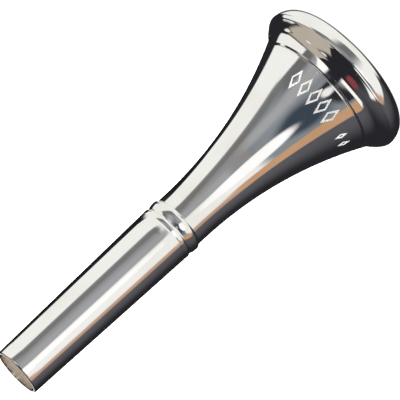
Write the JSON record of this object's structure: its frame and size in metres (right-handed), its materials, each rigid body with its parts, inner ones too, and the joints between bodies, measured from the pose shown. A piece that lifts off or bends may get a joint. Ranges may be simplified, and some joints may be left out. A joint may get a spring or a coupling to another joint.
{
  "type": "french horn mouthpiece",
  "caption": "Silver-plated French horn mouthpiece: rounded screw rim, deep funnel cup on a long flare, decorative bead pair and a tapered open shank.",
  "frame": {"origin": "centre of the rim's crown plane, the lowest point of the mouthpiece when it stands on its rim", "axes": "+Z along the bore axis, from the rim towards the shank end; -Y is the side with the engraved ornament"},
  "size_m": [0.025, 0.025, 0.066],
  "materials": {
    "silver_plate_rim": "brass, silver plated and mirror polished",
    "silver_plate_body": "brass, silver plated and mirror polished"
  },
  "bodies": {
    "rim": {"rim": "silver_plate_rim"},
    "cup_and_shank": {"cup_and_shank": "silver_plate_body"}
  },
  "joints": [
    {"name": "rim_thread", "type": "slide", "parent": "rim", "child": "cup_and_shank", "axis": [0, 0, 1], "range_m": [0, 0.0038]}
  ]
}
